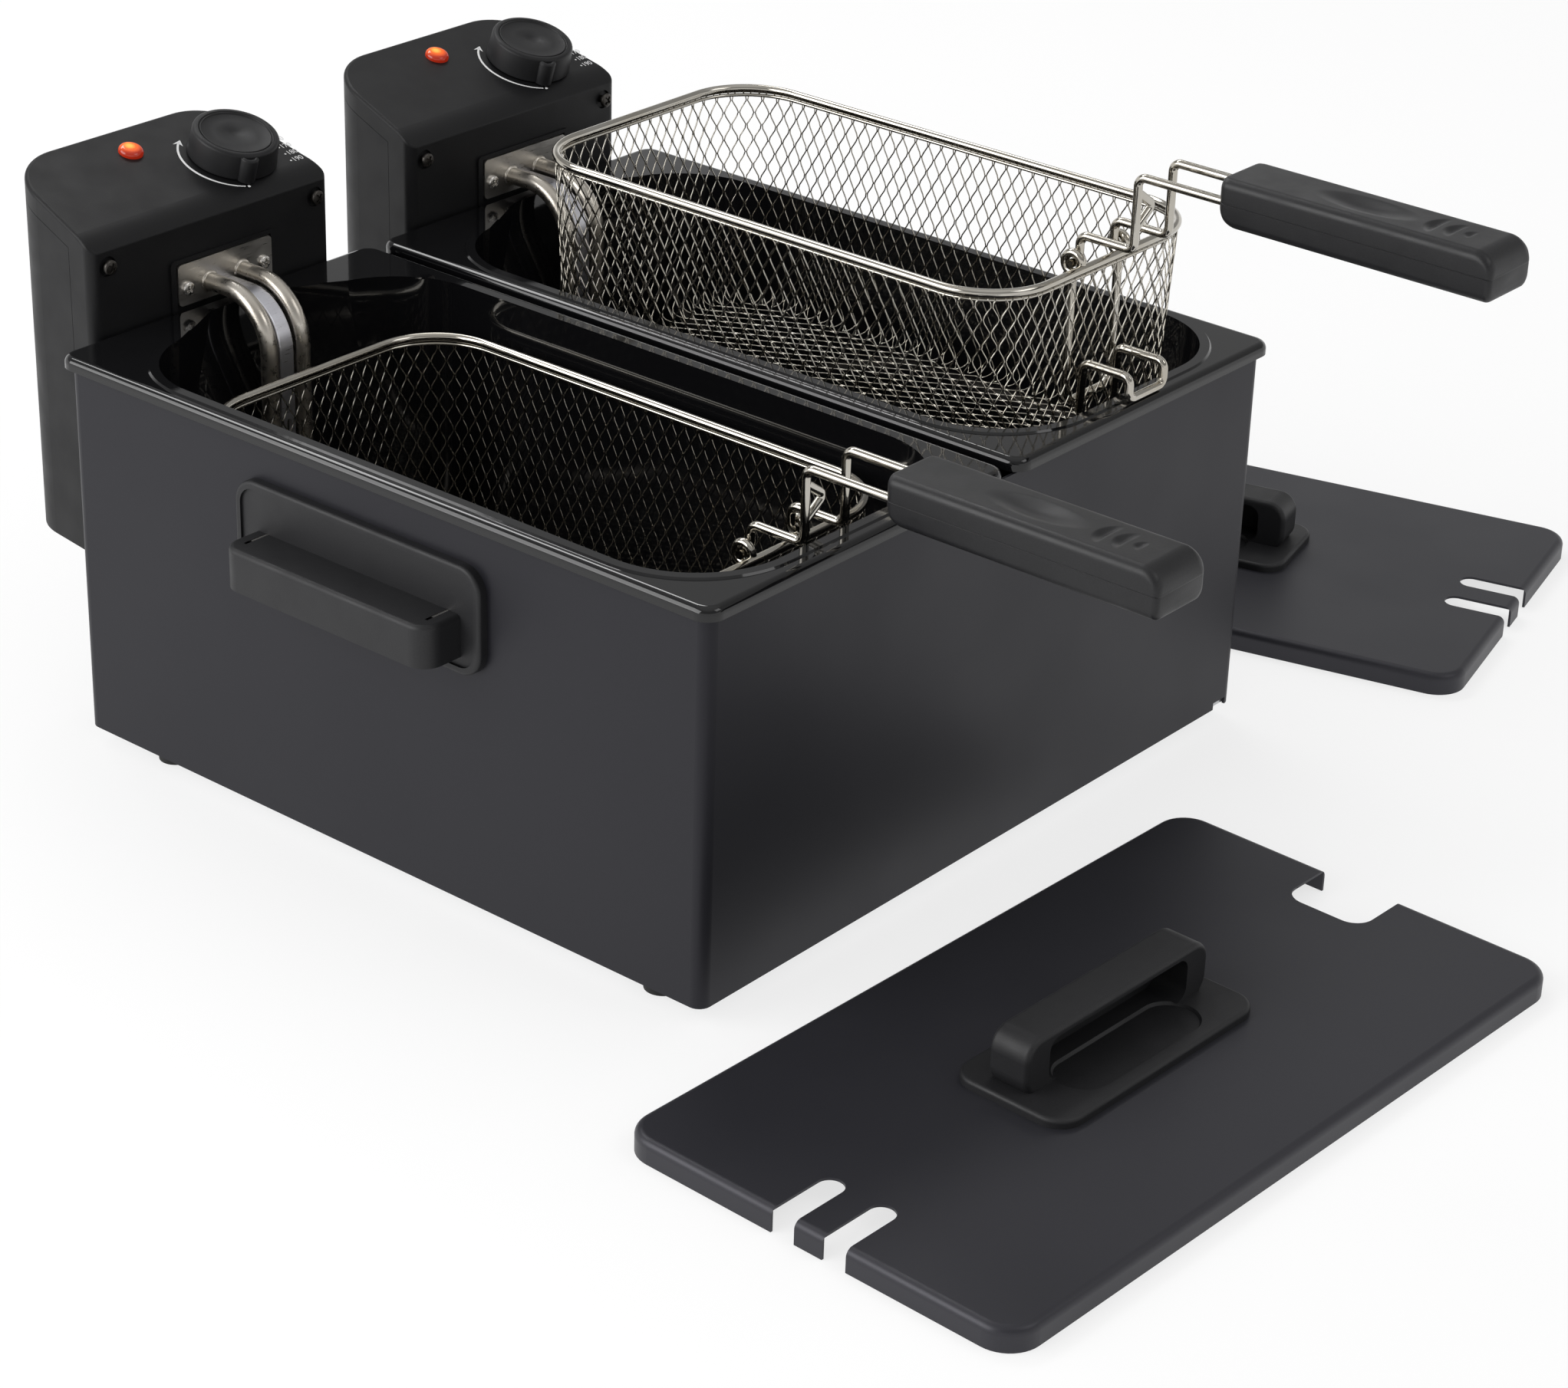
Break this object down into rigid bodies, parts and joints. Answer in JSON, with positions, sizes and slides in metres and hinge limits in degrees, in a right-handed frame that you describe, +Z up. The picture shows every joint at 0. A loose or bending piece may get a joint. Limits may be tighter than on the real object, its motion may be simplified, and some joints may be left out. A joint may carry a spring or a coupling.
{
  "type": "double deep fryer",
  "caption": "Countertop double deep fryer in satin black, with black enamelled pots, hanging control units, wire baskets with folding handles, and lids.",
  "frame": {"origin": "centre of the label pad under the base plate, 7 mm above the worktop", "axes": "+X to the right seen from the front, +Y to the back where the control units hang, +Z up; the front with the basket handles faces -Y"},
  "size_m": [0.6441, 0.6064, 0.262],
  "materials": {
    "black_paint": "satin black powder coat with a very fine texture",
    "brushed_steel": "plain stainless sheet with a fine grain",
    "black_enamel": "glossy black vitreous enamel",
    "black_plastic": "black moulded plastic with a fine grain",
    "wire_chrome": "bright plated steel wire",
    "element_steel": "dull annealed steel tube",
    "zinc_steel": "plain zinc-coated sheet",
    "screw_steel": "plated screws",
    "foot_rubber": "black rubber",
    "amber_lens": "translucent amber lens",
    "ceramic_white": "white ceramic",
    "red_plastic": "red moulded plastic"
  },
  "bodies": {
    "casing": {"casing": "black_paint", "base_plate": "zinc_steel", "feet": "foot_rubber", "foot_screws": "screw_steel", "hanger_channels": "zinc_steel", "carry_handle_left": "black_plastic", "carry_handle_right": "black_plastic", "carry_handle_screws": "screw_steel"},
    "pot_left": {"pot_left": "black_enamel"},
    "control_unit_left": {"panel_cover_left": "black_plastic", "rear_cover_left": "black_plastic", "element_plate_left": "brushed_steel", "heating_element_left": "element_steel", "sensor_guard_left": "brushed_steel", "thermostat_bulb_left": "element_steel", "thermostat_left": "zinc_steel", "lens_left": "amber_lens", "terminal_block_left": "ceramic_white", "cord_gland_left": "foot_rubber", "hanger_tongue_left": "zinc_steel", "cover_screws_left": "screw_steel", "plate_screws_left": "screw_steel"},
    "knob_left": {"knob_left": "black_plastic"},
    "reset_button_left": {"reset_button_left": "red_plastic"},
    "basket_left": {"basket_mesh_left": "wire_chrome", "basket_frame_left": "wire_chrome", "drain_hook_left": "wire_chrome"},
    "handle_left": {"handle_wire_left": "wire_chrome", "grip_upper_left": "black_plastic", "grip_lower_left": "black_plastic"},
    "lid_left": {"lid_panel_left": "black_paint", "lid_handle_left": "black_plastic", "lid_screws_left": "screw_steel"},
    "pot_right": {"pot_right": "black_enamel"},
    "control_unit_right": {"panel_cover_right": "black_plastic", "rear_cover_right": "black_plastic", "element_plate_right": "brushed_steel", "heating_element_right": "element_steel", "sensor_guard_right": "brushed_steel", "thermostat_bulb_right": "element_steel", "thermostat_right": "zinc_steel", "lens_right": "amber_lens", "terminal_block_right": "ceramic_white", "cord_gland_right": "foot_rubber", "hanger_tongue_right": "zinc_steel", "cover_screws_right": "screw_steel", "plate_screws_right": "screw_steel"},
    "knob_right": {"knob_right": "black_plastic"},
    "reset_button_right": {"reset_button_right": "red_plastic"},
    "basket_right": {"basket_mesh_right": "wire_chrome", "basket_frame_right": "wire_chrome", "drain_hook_right": "wire_chrome"},
    "handle_right": {"handle_wire_right": "wire_chrome", "grip_upper_right": "black_plastic", "grip_lower_right": "black_plastic"},
    "lid_right": {"lid_panel_right": "black_paint", "lid_handle_right": "black_plastic", "lid_screws_right": "screw_steel"}
  },
  "joints": [
    {"name": "pot_lift_left", "type": "slide", "parent": "casing", "child": "pot_left", "axis": [0, 0, 1], "range_m": [0, 0.15]},
    {"name": "unit_lift_left", "type": "slide", "parent": "pot_left", "child": "control_unit_left", "axis": [0, 0, 1], "range_m": [0, 0.14]},
    {"name": "knob_turn_left", "type": "hinge", "parent": "control_unit_left", "child": "knob_left", "pos_m": [-0.053, 0.18756, 0.20057], "axis": [0, 0.2873, -0.9578], "range_deg": [0, 265]},
    {"name": "reset_push_left", "type": "slide", "parent": "control_unit_left", "child": "reset_button_left", "axis": [0, -1, 0], "range_m": [0, 0.0025], "stiffness_N_per_m": 300},
    {"name": "basket_lift_left", "type": "slide", "parent": "control_unit_left", "child": "basket_left", "axis": [0, 0, 1], "range_m": [0, 0.13]},
    {"name": "handle_fold_left", "type": "hinge", "parent": "basket_left", "child": "handle_left", "pos_m": [-0.085, -0.1205, 0.1425], "axis": [-1, 0, 0], "range_deg": [0, 160]},
    {"name": "lid_lift_left", "type": "slide", "parent": "casing", "child": "lid_left", "axis": [0, -0.7071, 0.7071], "range_m": [0, 0.15]},
    {"name": "pot_lift_right", "type": "slide", "parent": "casing", "child": "pot_right", "axis": [0, 0, 1], "range_m": [0, 0.15]},
    {"name": "unit_lift_right", "type": "slide", "parent": "pot_right", "child": "control_unit_right", "axis": [0, 0, 1], "range_m": [0, 0.14]},
    {"name": "knob_turn_right", "type": "hinge", "parent": "control_unit_right", "child": "knob_right", "pos_m": [0.117, 0.18756, 0.20057], "axis": [0, 0.2873, -0.9578], "range_deg": [0, 265]},
    {"name": "reset_push_right", "type": "slide", "parent": "control_unit_right", "child": "reset_button_right", "axis": [0, -1, 0], "range_m": [0, 0.0025], "stiffness_N_per_m": 300},
    {"name": "basket_lift_right", "type": "slide", "parent": "control_unit_right", "child": "basket_right", "axis": [0, 0, 1], "range_m": [0, 0.065]},
    {"name": "handle_fold_right", "type": "hinge", "parent": "basket_right", "child": "handle_right", "pos_m": [0.085, -0.1335, 0.2075], "axis": [-1, 0, 0], "range_deg": [0, 160]},
    {"name": "lid_lift_right", "type": "slide", "parent": "casing", "child": "lid_right", "axis": [0.7071, 0, 0.7071], "range_m": [0, 0.15]}
  ]
}
